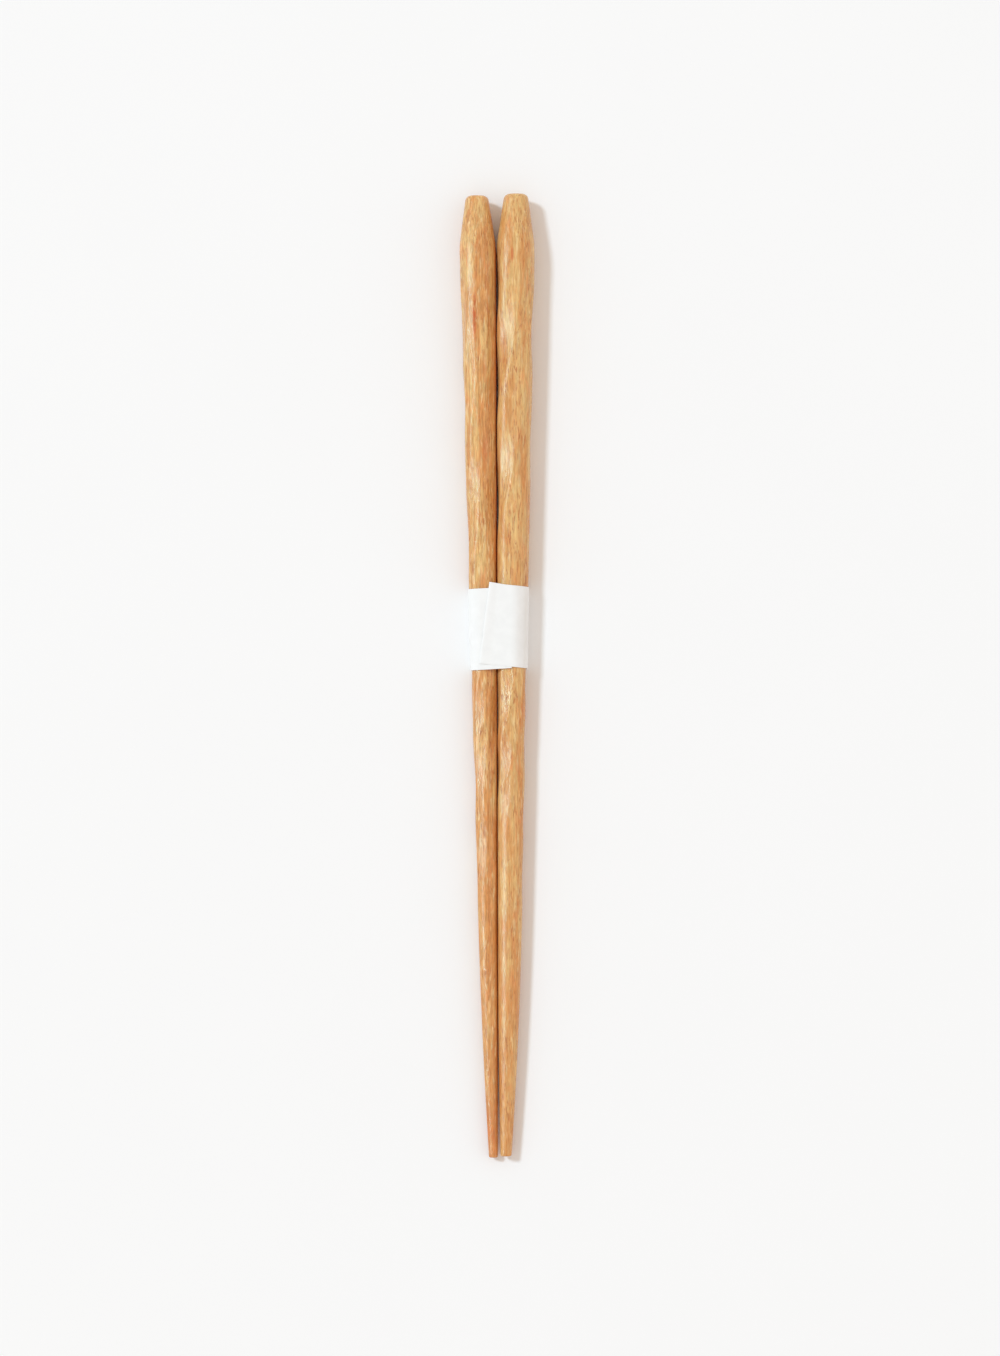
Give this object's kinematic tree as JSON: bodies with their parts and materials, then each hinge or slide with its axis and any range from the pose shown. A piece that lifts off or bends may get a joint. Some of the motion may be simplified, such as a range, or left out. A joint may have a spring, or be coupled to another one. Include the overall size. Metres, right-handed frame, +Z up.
{
  "type": "wooden chopsticks",
  "caption": "Hand-carved wooden chopsticks lying side by side, thick shouldered butts tapering to blunt tips, bound by a plain paper band.",
  "frame": {"origin": "middle of the pair's outline on the resting surface, below the two sticks", "axes": "+Y along the sticks towards their thick butt ends, +Z up from the resting surface, +X towards the thicker stick"},
  "size_m": [0.018, 0.2304, 0.009],
  "materials": {
    "wood_left": "semi-gloss clear lacquer over faceted, streaky grain",
    "wood_right": "semi-gloss clear lacquer over faceted, streaky grain",
    "paper": "matt uncoated white paper"
  },
  "bodies": {
    "root": {"chopstick_left": "wood_left", "chopstick_right": "wood_right", "paper_band": "paper"}
  },
  "joints": []
}
